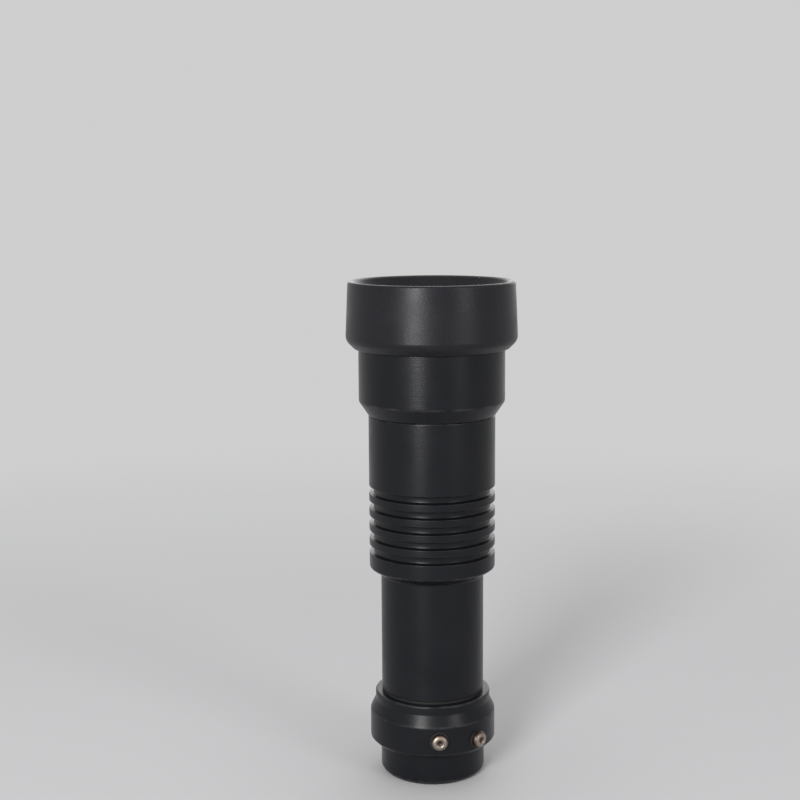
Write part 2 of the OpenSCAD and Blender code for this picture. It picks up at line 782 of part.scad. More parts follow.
// White washer around the positive cap
cell_washer_t = 0.25;
cell_washer_gap = 0.25;
cell_lip_w = 1.4;

module cell_insulator() {
    outer_r = cell_r - cell_lip_w - fit;
    color("white") ring(outer_r, cell_cap_d / 2 + cell_washer_gap, cell_shoulder_z, cell_washer_t);
}

module cell_can() {
    inner_r = can_r - cell_can_t;
    color(nickel) turned([
        [0, cell_z], [inner_r, cell_z], [can_r, cell_z + cell_can_t],
        [can_r, cell_shoulder_z], [0, cell_shoulder_z], [0, cell_shoulder_z - cell_can_t],
        [inner_r, cell_shoulder_z - cell_can_t], [inner_r, cell_z + cell_can_t],
        [0, cell_z + cell_can_t]
    ]);
}

// The wound core of the cell, as a plain roll
module cell_core() {
    end_gap = 0.3;
    low = cell_z + cell_can_t + end_gap;
    color([0.45, 0.36, 0.28]) translate([0, 0, low])
        cylinder(r = can_r - cell_can_t - fit, h = cell_shoulder_z - cell_can_t - end_gap - low);
}

// Shrunk sleeve, folded over both ends of the can
module cell_sleeve() {
    inner_r = cell_r - cell_sleeve_t;
    lip_r = cell_r - cell_lip_w;
    low = cell_z - cell_sleeve_t;
    high = cell_shoulder_z + cell_sleeve_t;
    color([0.12, 0.3, 0.55]) turned([
        [lip_r, low], [cell_r, low], [cell_r, high], [lip_r, high], [lip_r, cell_shoulder_z],
        [inner_r, cell_shoulder_z], [inner_r, cell_z], [lip_r, cell_z]
    ]);
}

// Insulated lead from the tail board to the front contact
module charge_lead() {
    corner_z = holder_top_z + lead_d / 2;
    end_r = contact_head_d / 2 + fit;
    color("red") rotate(lead_angle) {
        translate([lead_r, 0, tail_spigot_z]) cylinder(d = lead_d, h = corner_z - tail_spigot_z);
        translate([lead_r, 0, corner_z]) sphere(d = lead_d);
        translate([0, 0, corner_z]) outward(end_r) cylinder(d = lead_d, h = lead_r - end_r);
    }
}

module tail_gasket() {
    inset = 0.1;
    color(rubber_black) ring(neck_r - inset, tail_bore_r, tail_top_z, tail_gasket_t);
}

// The cap stands the lamp up, holds the switch and carries the charging studs
module tail_cap() {
    dish_r = tail_end_r - tail_rim_w;
    hole_r = button_r + easy_fit;
    flange_bore_r = button_flange_r + loose_fit;
    color(anodised_black) difference() {
        turned([
            [dish_r, 0], [tail_end_r - tail_bevel, 0], [tail_end_r, tail_bevel], [tail_end_r, collar_z],
            [collar_r - tail_bevel, collar_z], [collar_r, collar_z + tail_bevel], [collar_r, tail_taper_z],
            [tail_ring_r, tail_ring_z], [tail_ring_r, tail_top_z - tail_bevel],
            [tail_ring_r - tail_bevel, tail_top_z], [tail_bore_r, tail_top_z], [tail_bore_r, stud_bore_z],
            [switch_bore_r, stud_bore_z], [switch_bore_r, switch_z], [flange_bore_r, switch_z],
            [flange_bore_r, tail_floor_z], [hole_r, tail_floor_z], [hole_r, tail_dish_depth],
            [dish_r, tail_dish_depth]
        ]);
        at_studs() {
            outward(switch_bore_r) cylinder(d = bush_d + 2 * fit, h = collar_r);
            outward(stud_seat_r) cylinder(d = bush_flange_d + 2 * fit, h = collar_r);
        }
    }
}

tail_spring_curls = 3;
tail_spring_narrowing = 3.3;
tail_spring_r = (tail_spring_d - tail_spring_wire) / 2;
tail_spring_line = coil_line(
    tail_spring_curls,
    [tail_spring_r, tail_spigot_z + tail_spring_wire / 2],
    [tail_spring_r - tail_spring_narrowing, cell_z - tail_spring_wire / 2]
);

module tail_spring() {
    color(nickel) coil(tail_spring_line, tail_spring_wire);
}

// Board that joins the switch, the tail spring and the charging contacts
module tail_board() {
    color(board_green) translate([0, 0, tail_board_z])
        cylinder(r = tail_bore_r - slide_fit, h = tail_board_t);
}

// Charging chip and two small resistors, inside the tail spring
module tail_board_parts() {
    chip_l = 3;
    chip_w = 1.8;
    chip_h = 1.1;
    resistor_l = 1.6;
    resistor_w = 0.8;
    resistor_h = 0.5;
    resistor_row = 2.2;
    color([0.12, 0.12, 0.13]) translate([0, 0, tail_spigot_z]) {
        translate([-chip_l / 2, -chip_w / 2, 0]) cube([chip_l, chip_w, chip_h]);
        for (side = [-1, 1])
            translate([-resistor_l / 2, side * resistor_row - resistor_w / 2, 0])
                cube([resistor_l, resistor_w, resistor_h]);
    }
}

// Leaf contacts under the tail board, each pressed against the end of a stud
module charge_fingers() {
    color(brass) at_studs() translate([finger_r, -finger_w / 2, stud_to_board + $drop]) {
        translate([0, 0, -finger_drop - $drop]) cube([finger_t, finger_w, finger_drop + $drop]);
        translate([0, 0, -finger_t]) cube([finger_foot, finger_w, finger_t]);
    }
}

// Riveted studs with rounded, dimpled heads
module charging_studs() {
    dimple_depth = 0.35;
    head_r = stud_head_d / 2;
    edge_share = 0.75;
    edge_r = stud_head_h * edge_share;
    shank_l = stud_head_base_r - stud_tip_r;
    color(nickel) at_studs() outward(stud_head_base_r) turned(concat(
        [[0, -shank_l], [stud_shank_d / 2, -shank_l], [stud_shank_d / 2, 0], [head_r, 0]],
        arc([head_r - edge_r, stud_head_h - edge_r], edge_r, 0, 90),
        [[stud_dimple_d / 2, stud_head_h], [stud_dimple_d / 4, stud_head_h - dimple_depth],
         [0, stud_head_h - dimple_depth]]
    ));
}

module stud_bushes() {
    bore_r = stud_shank_d / 2 + fit;
    sleeve_l = stud_seat_r - tail_bore_r;
    color([0.2, 0.2, 0.22]) at_studs() outward(stud_seat_r) turned([
        [bore_r, -sleeve_l], [bush_d / 2, -sleeve_l], [bush_d / 2, 0], [bush_flange_d / 2, 0],
        [bush_flange_d / 2, bush_flange_t], [bore_r, bush_flange_t]
    ]);
}

module switch_body() {
    edge = 0.4;
    color([0.2, 0.2, 0.22]) turned([
        [pocket_r, switch_z], [switch_r - edge, switch_z], [switch_r, switch_z + edge],
        [switch_r, tail_board_z], [0, tail_board_z], [0, pocket_top_z], [pocket_r, pocket_top_z]
    ]);
}

button_spring_line = coil_line(
    button_spring_curls,
    [button_spring_r, button_flange_z + fit + button_spring_wire / 2],
    [button_spring_r, pocket_top_z - button_spring_wire / 2]
);

module button_spring() {
    color(nickel) coil(button_spring_line, button_spring_wire);
}

// Hard core of the button, which works the switch
module button_plunger() {
    tip = 0.4;
    low = button_flange_z - plunger_foot;
    color("white") turned([
        [0, low], [plunger_r, low], [plunger_r, button_flange_z], [plunger_collar_r, button_flange_z],
        [plunger_collar_r, button_flange_z + plunger_collar_h],
        [plunger_r, button_flange_z + plunger_collar_h],
        [plunger_r, plunger_top_z - tip], [plunger_r - tip, plunger_top_z], [0, plunger_top_z]
    ]);
}

// Soft button with a crowned face, held in by its flange
module push_button() {
    crown_steps = 8;
    edge_z = tail_dish_depth + button_sink;
    socket_r = plunger_r + fit;
    socket_z = button_flange_z - plunger_foot;
    face = [
        for (i = [0 : crown_steps])
            let (share = i / crown_steps)
            [button_r * share, edge_z - button_crown * (1 - pow(share, 2))]
    ];
    color(rubber_black) turned(concat(face, [
        [button_r, tail_floor_z], [button_flange_r, tail_floor_z], [button_flange_r, button_flange_z],
        [socket_r, button_flange_z], [socket_r, socket_z], [0, socket_z]
    ]));
}

echo("least gap in the contact spring", coil_gap(contact_spring_line, contact_spring_wire));
echo("least gap in the tail spring", coil_gap(tail_spring_line, tail_spring_wire));
echo("least gap in the button spring", coil_gap(button_spring_line, button_spring_wire));

egg_cup();
bezel_ring();
lens_seal();
lens();
reflector();
led_centring_ring();
led_dome();
led_package();
led_board();
board_screws();
led_lead_positive();
led_lead_negative();
heat_sink();
driver_board();
driver_parts();
contact_spring();
head_housing();
head_sealing_ring();
barrel();
front_contact_holder();
front_contact();
cell_positive_cap();
cell_insulator();
cell_can();
cell_core();
cell_sleeve();
charge_lead();
tail_gasket();
tail_cap();
tail_spring();
tail_board();
tail_board_parts();
charge_fingers();
charging_studs();
stud_bushes();
switch_body();
button_spring();
button_plunger();
push_button();
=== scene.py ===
# %% [markdown]
# # An egg candling lamp
# A candling lamp is a short torch with a soft cup on its head, which the light leaves through. Nearly
# every outer piece is turned on a lathe, so this lesson is about turned shapes: half an outline, its
# corners rounded, and one spin around the lamp's axis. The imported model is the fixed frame, and every
# piece made here sits in it, in metres.

# %% Load the frame
import math
import bmesh
import bpy
from mathutils import Matrix, Vector


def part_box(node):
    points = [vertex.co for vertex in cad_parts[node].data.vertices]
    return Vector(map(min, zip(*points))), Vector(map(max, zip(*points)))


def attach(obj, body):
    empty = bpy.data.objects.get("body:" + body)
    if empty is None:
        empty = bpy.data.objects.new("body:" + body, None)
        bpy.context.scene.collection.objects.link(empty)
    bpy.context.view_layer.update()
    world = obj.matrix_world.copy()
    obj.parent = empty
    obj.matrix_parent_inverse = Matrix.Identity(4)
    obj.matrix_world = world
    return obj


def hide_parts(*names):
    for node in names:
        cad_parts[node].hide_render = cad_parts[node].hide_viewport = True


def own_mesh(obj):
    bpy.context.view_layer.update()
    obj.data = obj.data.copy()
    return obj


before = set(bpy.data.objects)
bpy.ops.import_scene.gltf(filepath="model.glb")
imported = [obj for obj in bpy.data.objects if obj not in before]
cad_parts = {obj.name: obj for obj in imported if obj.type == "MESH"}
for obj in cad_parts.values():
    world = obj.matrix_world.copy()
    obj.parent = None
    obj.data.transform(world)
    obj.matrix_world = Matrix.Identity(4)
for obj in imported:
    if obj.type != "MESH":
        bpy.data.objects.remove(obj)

MM = 0.001
scene = bpy.context.scene
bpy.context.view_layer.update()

# %% [markdown]
# ## The camera
# The lamp is seen from a little over a quarter of a metre away, from above its rim. At this short
# distance the rim looks almost edge on while the tail is seen from well above, so the place of the camera
# matters more than its lens. The camera looks slightly to the left, which puts the lamp right of the
# middle.

# %% Camera
CAMERA_DISTANCE = 280 * MM
CAMERA_HEIGHT = 119.2 * MM
CAMERA_PITCH = math.radians(8.71)
CAMERA_YAW = math.radians(1.24)
CAMERA_ROLL = math.radians(0.34)
CAMERA_LENS = 64.2

camera_data = bpy.data.cameras.new("camera")
camera_data.lens = CAMERA_LENS
camera_data.clip_start = 1 * MM
camera = bpy.data.objects.new("camera", camera_data)
camera.location = (0, -CAMERA_DISTANCE, CAMERA_HEIGHT)
camera.rotation_euler = (math.pi / 2 - CAMERA_PITCH, CAMERA_ROLL, CAMERA_YAW)
scene.collection.objects.link(camera)
scene.camera = camera
scene.view_settings.view_transform = "Standard"
print("camera at", [round(c, 3) for c in camera.location])

# %% [markdown]
# ## Building a finish from nodes
# Each finish is a small node tree: a colour that varies a little, a roughness that varies with it, and a
# fine bump. All patterns read Object coordinates, so their sizes are real sizes. A texture's scale is
# one over the size of its grain, and the helpers below take that size in millimetres.

# %% Node helpers
WEAR = "wear"


def new_finish(name, colour, roughness, metallic=0.0, specular=0.5):
    """A material with one shader, and what the other helpers need to add to it."""
    material = bpy.data.materials.new(name)
    material.use_nodes = True
    tree = material.node_tree
    shader = tree.nodes["Principled BSDF"]
    shader.inputs["Base Color"].default_value = (*colour, 1)
    shader.inputs["Roughness"].default_value = roughness
    shader.inputs["Metallic"].default_value = metallic
    shader.inputs["Specular IOR Level"].default_value = specular
    return material, tree, shader


def object_point(tree):
    return tree.nodes.new("ShaderNodeTexCoord").outputs["Object"]


def grain(tree, size_mm, detail=2.0, stretch=(1, 1, 1)):
    """A noise whose grain has the given size, stretched along the axes."""
    mapping = tree.nodes.new("ShaderNodeMapping")
    mapping.inputs["Scale"].default_value = stretch
    noise = tree.nodes.new("ShaderNodeTexNoise")
    noise.inputs["Scale"].default_value = 1 / (size_mm * MM)
    noise.inputs["Detail"].default_value = detail
    tree.links.new(object_point(tree), mapping.inputs["Vector"])
    tree.links.new(mapping.outputs["Vector"], noise.inputs["Vector"])
    return noise.outputs["Fac"]


def axis_distance(tree):
    """How far a point is from the lamp's axis."""
    flat = tree.nodes.new("ShaderNodeVectorMath")
    flat.operation = "MULTIPLY"
    flat.inputs[1].default_value = (1, 1, 0)
    distance = tree.nodes.new("ShaderNodeVectorMath")
    distance.operation = "LENGTH"
    tree.links.new(object_point(tree), flat.inputs[0])
    tree.links.new(flat.outputs["Vector"], distance.inputs[0])
    return distance.outputs["Value"]


def turning_marks(tree, size_mm):
    """Fine rings around the lamp's axis: they follow the height on a wall and the radius on a face."""
    height = tree.nodes.new("ShaderNodeSeparateXYZ")
    along = tree.nodes.new("ShaderNodeMath")
    along.operation = "ADD"
    noise = tree.nodes.new("ShaderNodeTexNoise")
    noise.noise_dimensions = "1D"
    noise.inputs["Scale"].default_value = 1 / (size_mm * MM)
    noise.inputs["Detail"].default_value = 3.0
    tree.links.new(object_point(tree), height.inputs["Vector"])
    tree.links.new(axis_distance(tree), along.inputs[0])
    tree.links.new(height.outputs["Z"], along.inputs[1])
    tree.links.new(along.outputs["Value"], noise.inputs["W"])
    return noise.outputs["Fac"]


def spread(tree, value, low, high, start=0.3, end=0.7):
    """Maps a pattern's middle range onto low to high."""
    ramp = tree.nodes.new("ShaderNodeMapRange")
    ramp.inputs["From Min"].default_value = start
    ramp.inputs["From Max"].default_value = end
    ramp.inputs["To Min"].default_value = low
    ramp.inputs["To Max"].default_value = high
    tree.links.new(value, ramp.inputs["Value"])
    return ramp.outputs["Result"]


def blend_colours(tree, share, first, second):
    """A colour between two, by a share; either may be a plain colour or another node's output."""
    mix = tree.nodes.new("ShaderNodeMix")
    mix.data_type = "RGBA"
    tree.links.new(share, mix.inputs["Factor"])
    for socket, colour in ((mix.inputs[6], first), (mix.inputs[7], second)):
        if isinstance(colour, tuple):
            socket.default_value = (*colour, 1)
        else:
            tree.links.new(colour, socket)
    return mix.outputs[2]


def bump(tree, shader, heights):
    """Chains (pattern, depth in mm) pairs into the shader's normal."""
    normal = None
    for pattern, depth_mm in heights:
        node = tree.nodes.new("ShaderNodeBump")
        node.inputs["Distance"].default_value = depth_mm * MM
        tree.links.new(pattern, node.inputs["Height"])
        if normal:
            tree.links.new(normal, node.inputs["Normal"])
        normal = node.outputs["Normal"]
    tree.links.new(normal, shader.inputs["Normal"])


def edge_wear(tree):
    """The edges that the lathe below marks as worn, broken up by a patchy noise."""
    edges = tree.nodes.new("ShaderNodeAttribute")
    edges.attribute_name = WEAR
    patches = spread(tree, grain(tree, size_mm=2.0, detail=4.0), low=0, high=1, start=0.36, end=0.7)
    both = tree.nodes.new("ShaderNodeMath")
    both.operation = "MULTIPLY"
    tree.links.new(edges.outputs["Fac"], both.inputs[0])
    tree.links.new(patches, both.inputs[1])
    return both.outputs["Value"]


print("node helpers ready")

# %% [markdown]
# ## Black anodised aluminium
# The head, the barrel and the tail cap are turned from aluminium, blasted with fine beads and dyed black
# as they are anodised. What is left to see is a fine satin grain, faint rings from the tool, and a
# slightly greyer tone along edges that are rubbed in use.

# %% Anodised finish
DYE = (0.006, 0.0064, 0.008)
DYE_DEEP = (0.0046, 0.005, 0.0066)
DYE_PALE = (0.0072, 0.0077, 0.0098)
RUBBED_EDGE = (0.034, 0.034, 0.037)


def make_anodised():
    material, tree, shader = new_finish("black_anodised", DYE, roughness=0.3, specular=0.2)
    cloud = grain(tree, size_mm=9, detail=3.0)
    marks = turning_marks(tree, size_mm=0.4)
    blasted = grain(tree, size_mm=0.3, detail=3.0)
    base = blend_colours(tree, cloud, DYE_DEEP, DYE_PALE)
    worn = blend_colours(tree, edge_wear(tree), base, RUBBED_EDGE)
    tree.links.new(worn, shader.inputs["Base Color"])
    tree.links.new(spread(tree, cloud, low=0.25, high=0.36), shader.inputs["Roughness"])
    bump(tree, shader, [(blasted, 0.012), (marks, 0.006)])
    return material


anodised = make_anodised()
print("made", anodised.name)

# %% [markdown]
# ## Moulded rubber
# The cup, the button and the seals are black silicone rubber. Rubber from a mould has a soft, even
# texture from the spark-eroded tool, it scatters light more than the metal, and it holds a little dust.

# %% Rubber finish
DUST_GAIN = 2.2
RUBBER_PLAY = 0.05


def make_rubber(name, dark, light, roughness):
    material, tree, shader = new_finish(name, dark, roughness, specular=0.25)
    cloud = grain(tree, size_mm=6, detail=4.0)
    tooth = grain(tree, size_mm=0.35, detail=3.0)
    specks = grain(tree, size_mm=0.5, detail=5.0)
    dust = spread(tree, specks, low=0, high=0.5, start=0.58, end=0.75)
    base = blend_colours(tree, cloud, dark, light)
    dusty = blend_colours(tree, dust, base, tuple(DUST_GAIN * c for c in light))
    gloss = spread(tree, cloud, roughness - RUBBER_PLAY, roughness + RUBBER_PLAY)
    tree.links.new(dusty, shader.inputs["Base Color"])
    tree.links.new(gloss, shader.inputs["Roughness"])
    bump(tree, shader, [(tooth, 0.02)])
    return material


cup_rubber = make_rubber("cup_rubber", (0.0065, 0.0066, 0.009), (0.0095, 0.0097, 0.0125), 0.36)
seal_rubber = make_rubber("seal_rubber", (0.014, 0.014, 0.014), (0.02, 0.02, 0.02), 0.55)
button_rubber = make_rubber("button_rubber", (0.013, 0.013, 0.015), (0.019, 0.019, 0.021), 0.55)
print("made three rubbers")

# %% [markdown]
# ## Bare and plated metals
# The studs are brass with a thin nickel plate, which charging has rubbed through in the middle. Inside
# are plated steel, turned brass and a polished reflector. All of them share one recipe: a metal colour,
# tarnish in soft patches, and tool marks or scratches in the bump.

# %% Metal finishes
METAL_PATCH = 2.0
METAL_SMOOTHER = 0.06
METAL_ROUGHER = 0.1


def make_metal(name, colour, tarnish, roughness, mark_mm, mark_depth=0.003):
    material, tree, shader = new_finish(name, colour, roughness, metallic=1.0)
    patches = grain(tree, METAL_PATCH, detail=4.0)
    marks = turning_marks(tree, mark_mm)
    share = spread(tree, patches, low=0, high=0.7, start=0.45, end=0.75)
    gloss = spread(tree, patches, roughness - METAL_SMOOTHER, roughness + METAL_ROUGHER)
    tree.links.new(blend_colours(tree, share, colour, tarnish), shader.inputs["Base Color"])
    tree.links.new(gloss, shader.inputs["Roughness"])
    bump(tree, shader, [(marks, mark_depth)])
    return material


plated_steel = make_metal("plated_steel", (0.62, 0.61, 0.58), (0.42, 0.4, 0.36), 0.28, 0.15)
brass = make_metal("brass", (0.66, 0.46, 0.18), (0.4, 0.26, 0.1), 0.3, 0.12)
mirror = make_metal("bright_reflector", (0.9, 0.9, 0.91), (0.84, 0.84, 0.86), 0.1, 0.3, 0.0006)
print("made three metals")

# %% [markdown]
# ## Plastics, boards and glass
# The pieces inside are moulded plastics and circuit boards. They get the same care: a slight change of
# tone, a moulded or woven grain, and a gloss that fits. The light's dome glows, because the lamp is on.

# %% Plastic, board and glass finishes
MOULDING_SHADE = 0.82
MOULDING_PLAY = 0.06
GLASS_ALPHA = 0.22
GLOW = 40.0


def make_moulding(name, colour, roughness, grain_mm=0.25, depth=0.006):
    material, tree, shader = new_finish(name, colour, roughness)
    cloud = grain(tree, size_mm=3, detail=3.0)
    shade = tuple(MOULDING_SHADE * c for c in colour)
    gloss = spread(tree, cloud, roughness - MOULDING_PLAY, roughness + MOULDING_PLAY)
    tree.links.new(blend_colours(tree, cloud, shade, colour), shader.inputs["Base Color"])
    tree.links.new(gloss, shader.inputs["Roughness"])
    bump(tree, shader, [(grain(tree, grain_mm), depth)])
    return material


def make_glass():
    material, tree, shader = new_finish("clear_glass", (0.93, 0.96, 0.97), roughness=0.03)
    smear = grain(tree, size_mm=5, detail=3.0)
    tree.links.new(spread(tree, smear, low=0.02, high=0.09), shader.inputs["Roughness"])
    tint = blend_colours(tree, smear, (0.9, 0.95, 0.96), (0.96, 0.98, 0.98))
    tree.links.new(tint, shader.inputs["Base Color"])
    shader.inputs["Alpha"].default_value = GLASS_ALPHA
    bump(tree, shader, [(grain(tree, size_mm=8, detail=1.0), 0.001)])
    return material


def make_glow():
    material, tree, shader = new_finish("led_dome", (1.0, 0.93, 0.72), roughness=0.15)
    phosphor = grain(tree, size_mm=0.12, detail=3.0)
    warm = blend_colours(tree, phosphor, (1.0, 0.9, 0.68), (1.0, 0.97, 0.86))
    tree.links.new(warm, shader.inputs["Base Color"])
    tree.links.new(warm, shader.inputs["Emission Color"])
    shader.inputs["Emission Strength"].default_value = GLOW
    bump(tree, shader, [(phosphor, 0.002)])
    return material


clear_glass = make_glass()
led_glow = make_glow()
white_plastic = make_moulding("white_plastic", (0.8, 0.79, 0.75), 0.42)
black_plastic = make_moulding("part_black", (0.03, 0.03, 0.034), 0.45)
led_ceramic = make_moulding("led_ceramic", (0.88, 0.86, 0.76), 0.5, 0.1)
board_white = make_moulding("board_metal", (0.78, 0.79, 0.8), 0.35, 0.3, 0.003)
board_green = make_moulding("board_green", (0.02, 0.16, 0.07), 0.3, 0.35)
red_lead = make_moulding("red_lead", (0.5, 0.025, 0.015), 0.5)
black_lead = make_moulding("black_lead", (0.022, 0.022, 0.022), 0.5)
cell_sleeve = make_moulding("cell_sleeve", (0.03, 0.1, 0.3), 0.22, 1.2, 0.004)
cell_core = make_moulding("cell_core", (0.28, 0.2, 0.14), 0.6, 0.2)
print("made", len(bpy.data.materials), "finishes so far")

# %% [markdown]
# ## The lathe
# A turned piece could start from a cylinder and be cut step by step. It is simpler to do what a lathe
# does: draw half of the outline as a wire, round its corners with a vertex bevel, and spin the wire once
# around the axis. The rounded corners then catch the light as machined edges do. Corners that stand out
# are marked in an attribute of the mesh, which the finish reads as wear. A weighted normal keeps the long
# walls flat in shading, although the edges are round.

# %% Lathe helpers
SPIN_STEPS = 144
CORNER_STEPS = 4
MERGE = 0.001 * MM
FINE_EDGE = 0.1
SMALL_EDGE = 0.2
EDGE = 0.3
BEVEL = 0.4


def stands_out(corners, index):
    """Whether a corner of the outline points out of the solid, from the way the outline turns there."""
    flat = [Vector(corner[:2]) for corner in corners]
    winding = sum(first.cross(second) for first, second in zip(flat, [*flat[1:], flat[0]]))
    before, here, after = flat[index - 1], flat[index], flat[(index + 1) % len(flat)]
    return (here - before).cross(after - here) * winding > 0


def mark_wear(arc, tip, layer):
    """Marks the middle of a rounded corner as worn, and its ends as fresh."""
    reach = [(vertex.co - tip).length for vertex in arc]
    near, far = min(reach), max(reach)
    for vertex, distance in zip(arc, reach):
        vertex[layer] = (far - distance) / (far - near)


def outline_wire(bm, corners, closed=True):
    """A wire through (radius, height, rounding) corners in mm, with every rounding bevelled in."""
    wear = bm.verts.layers.float.new(WEAR)
    points = [bm.verts.new((corner[0] * MM, 0, corner[1] * MM)) for corner in corners]
    for first, second in zip(points, points[1:]):
        bm.edges.new((first, second))
    if closed:
        bm.edges.new((points[-1], points[0]))
    for index, (point, corner) in enumerate(zip(points, corners)):
        if len(corner) > 2:
            tip = point.co.copy()
            rounded = bmesh.ops.bevel(
                bm, geom=[point], offset=corner[2] * MM, offset_type="OFFSET", segments=CORNER_STEPS,
                profile=0.5, affect="VERTICES", material=-1,
            )
            if stands_out(corners, index):
                mark_wear(rounded["verts"], tip, wear)


def spin_wire(bm, steps=SPIN_STEPS):
    """Spins all wires once around Z, closes seam and poles, and turns the faces outwards."""
    bmesh.ops.spin(
        bm, geom=bm.verts[:] + bm.edges[:], cent=(0, 0, 0), axis=(0, 0, 1), dvec=(0, 0, 0),
        angle=2 * math.pi, steps=steps, use_merge=True, use_duplicate=False,
    )
    bmesh.ops.remove_doubles(bm, verts=bm.verts[:], dist=MERGE)
    bmesh.ops.recalc_face_normals(bm, faces=bm.faces[:])


SHARP_ANGLE = math.radians(34)


def add_piece(name, bm, material, body, node):
    """Makes the bmesh an object that stands for a CAD node and rides on its body."""
    mesh = bpy.data.meshes.new(name)
    bm.to_mesh(mesh)
    bm.free()
    mesh.polygons.foreach_set("use_smooth", [True] * len(mesh.polygons))
    mesh.set_sharp_from_angle(angle=SHARP_ANGLE)
    piece = bpy.data.objects.new(name, mesh)
    scene.collection.objects.link(piece)
    piece.data.materials.append(material)
    weighted = piece.modifiers.new("even_walls", "WEIGHTED_NORMAL")
    weighted.keep_sharp = True
    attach(piece, body)
    if node:
        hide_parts(node)
    print(f"{name}: {len(mesh.polygons)} faces, on {body}")
    return piece


def cut_away(piece, cutter):
    """Takes the cutter's volume out of the piece's mesh."""
    mesh = bpy.data.meshes.new("cutter")
    cutter.to_mesh(mesh)
    cutter.free()
    tool = bpy.data.objects.new("cutter", mesh)
    scene.collection.objects.link(tool)
    boolean = piece.modifiers.new("cut", "BOOLEAN")
    boolean.operation = "DIFFERENCE"
    boolean.solver = "EXACT"
    boolean.object = tool
    weighted = piece.modifiers["even_walls"]
    weighted.show_viewport = False
    bpy.context.view_layer.update()
    result = bpy.data.meshes.new_from_object(piece.evaluated_get(bpy.context.evaluated_depsgraph_get()))
    piece.modifiers.remove(boolean)
    weighted.show_viewport = True
    piece.data = result
    result.set_sharp_from_angle(angle=SHARP_ANGLE)
    bpy.data.objects.remove(tool)
    print(f"{piece.name}: {len(result.polygons)} faces after the cut")


def mm_box(node):
    """A node's lowest and highest corner in mm."""
    return [[c / MM for c in corner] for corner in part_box(node)]


print("lathe ready, with", SPIN_STEPS, "steps a turn")

# %% [markdown]
# ## The soft cup
# The cup's mouth slopes in towards the lens, and its skirt is pushed over the head, where a bead snaps
# into a groove. Outside it draws in a little towards the rim, and its lower edge has a soft bevel.

# %% Cup
cup_low, cup_high = mm_box("egg_cup")
head_low, head_high = mm_box("head_housing")
CUP_R = cup_high[0]
CUP_Z = cup_low[2]
RIM_Z = cup_high[2]
HEAD_R = head_high[0]
HEAD_Z = head_low[2]
HEAD_TOP_Z = head_high[2]
FIT = 0.05
CUP_DRAW_IN = 0.5
CUP_RIM_T = 1.2
RIM_R = CUP_R - CUP_DRAW_IN
MOUTH_R = RIM_R - CUP_RIM_T
THROAT_R = 11.6
THROAT_H = 1.2
CUP_BEVEL = 1.75
CUP_EDGE = 0.8
CUP_LIP = 0.5
BEAD_W = 0.4
BEAD_H = 1.0
BEAD_Z = CUP_Z + (HEAD_TOP_Z - CUP_Z - BEAD_H) / 2


def make_cup():
    skirt_r = HEAD_R + FIT
    bm = bmesh.new()
    outline_wire(bm, [
        (skirt_r, CUP_Z, SMALL_EDGE), (CUP_R - CUP_BEVEL, CUP_Z, EDGE),
        (CUP_R, CUP_Z + CUP_BEVEL, CUP_EDGE), (RIM_R, RIM_Z, CUP_LIP),
        (MOUTH_R, RIM_Z, CUP_LIP), (THROAT_R, HEAD_TOP_Z + THROAT_H, BEVEL),
        (THROAT_R, HEAD_TOP_Z, SMALL_EDGE), (skirt_r, HEAD_TOP_Z), (skirt_r, BEAD_Z + BEAD_H),
        (skirt_r - BEAD_W, BEAD_Z + BEAD_H - BEAD_W / 2, FINE_EDGE),
        (skirt_r - BEAD_W, BEAD_Z + BEAD_W / 2, FINE_EDGE), (skirt_r, BEAD_Z),
    ])
    spin_wire(bm)
    return add_piece("soft_cup", bm, cup_rubber, "head", "egg_cup")


make_cup()

# %% [markdown]
# ## The head
# The head is a threaded sleeve. It tapers out from the grip, holds the light and the lens, and has the
# groove that the cup's bead snaps into.

# %% Head
barrel_low, barrel_high = mm_box("barrel")
sink_high = mm_box("heat_sink")[1]
GRIP_R = barrel_high[0]
HEAD_TAPER_H = 2.8
HEAD_BORE_R = sink_high[0] + FIT
SINK_FLANGE_H = 1.4
HEAD_LEDGE_Z = sink_high[2] - SINK_FLANGE_H
HEAD_SPIGOT_R = 11.3
SLIDE_FIT = 0.1
HEAD_THREAD_R = HEAD_SPIGOT_R + SLIDE_FIT


def make_head():
    low = BEAD_Z - FIT
    high = BEAD_Z + BEAD_H + FIT
    groove_r = HEAD_R - BEAD_W
    bm = bmesh.new()
    outline_wire(bm, [
        (HEAD_THREAD_R, HEAD_Z, SMALL_EDGE), (GRIP_R, HEAD_Z, SMALL_EDGE),
        (HEAD_R, HEAD_Z + HEAD_TAPER_H, EDGE), (HEAD_R, low), (groove_r, low + BEAD_W / 2),
        (groove_r, high - BEAD_W / 2), (HEAD_R, high), (HEAD_R, HEAD_TOP_Z, BEVEL),
        (HEAD_BORE_R, HEAD_TOP_Z, SMALL_EDGE), (HEAD_BORE_R, HEAD_LEDGE_Z),
        (HEAD_THREAD_R, HEAD_LEDGE_Z, FINE_EDGE),
    ])
    spin_wire(bm)
    return add_piece("head_shell", bm, anodised, "head", "head_housing")


make_head()

# %% [markdown]
# ## The barrel
# Grip and neck are one turned tube. Five ring grooves keep the grip from slipping. At the top is a spigot
# with a groove for the sealing ring and a thread. The thread is a short helix, so it is spun on its own:
# a spin that also climbs a little with every step.

